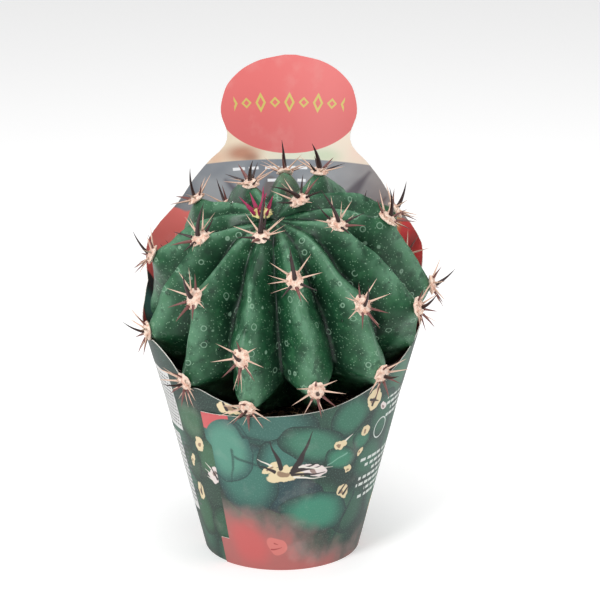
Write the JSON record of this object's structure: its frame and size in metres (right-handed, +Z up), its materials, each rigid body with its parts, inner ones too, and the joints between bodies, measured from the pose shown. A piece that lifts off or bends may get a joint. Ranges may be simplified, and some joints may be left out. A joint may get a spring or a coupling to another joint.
{
  "type": "potted round cactus",
  "caption": "Round ribbed cactus with spine clusters in a tapered plastic pot, standing in a printed card sleeve with a tall back panel and an oval header.",
  "frame": {"origin": "centre of the pot's underside, on the surface it stands on", "axes": "+Z up along the pot's axis; +Y towards the tall back panel, -Y towards the low front; +X to the viewer's right"},
  "size_m": [0.1804, 0.2194, 0.2551],
  "materials": {
    "cactus_skin": "waxy satin, dark green with a paler bloom along the ribs",
    "spines": "cream wool cushions with horny spines, dark brown to pink with ivory tips",
    "young_spines": "satin magenta young spines on a yellow-green base",
    "peat_soil": "matt, crumbly",
    "pot_plastic": "satin moulded plastic",
    "printed_card": "satin printed card with white cut edges"
  },
  "bodies": {
    "root": {"cactus_stem": "cactus_skin", "card_sleeve": "printed_card", "crown_spines": "young_spines", "plastic_pot": "pot_plastic", "potting_soil": "peat_soil", "spine_cluster_01_2": "spines", "spine_cluster_02_1": "spines", "spine_cluster_02_2": "spines", "spine_cluster_03_1": "spines", "spine_cluster_03_2": "spines", "spine_cluster_04_1": "spines", "spine_cluster_04_2": "spines", "spine_cluster_04_3": "spines", "spine_cluster_05_1": "spines", "spine_cluster_05_2": "spines", "spine_cluster_06_1": "spines", "spine_cluster_06_2": "spines", "spine_cluster_07_1": "spines", "spine_cluster_07_2": "spines", "spine_cluster_08_1": "spines", "spine_cluster_08_2": "spines", "spine_cluster_09_1": "spines", "spine_cluster_09_2": "spines", "spine_cluster_09_3": "spines", "spine_cluster_10_1": "spines", "spine_cluster_10_2": "spines", "spine_cluster_11_1": "spines", "spine_cluster_11_2": "spines", "spine_cluster_12_1": "spines", "spine_cluster_12_2": "spines", "spine_cluster_13_1": "spines", "spine_cluster_13_2": "spines"}
  },
  "joints": []
}
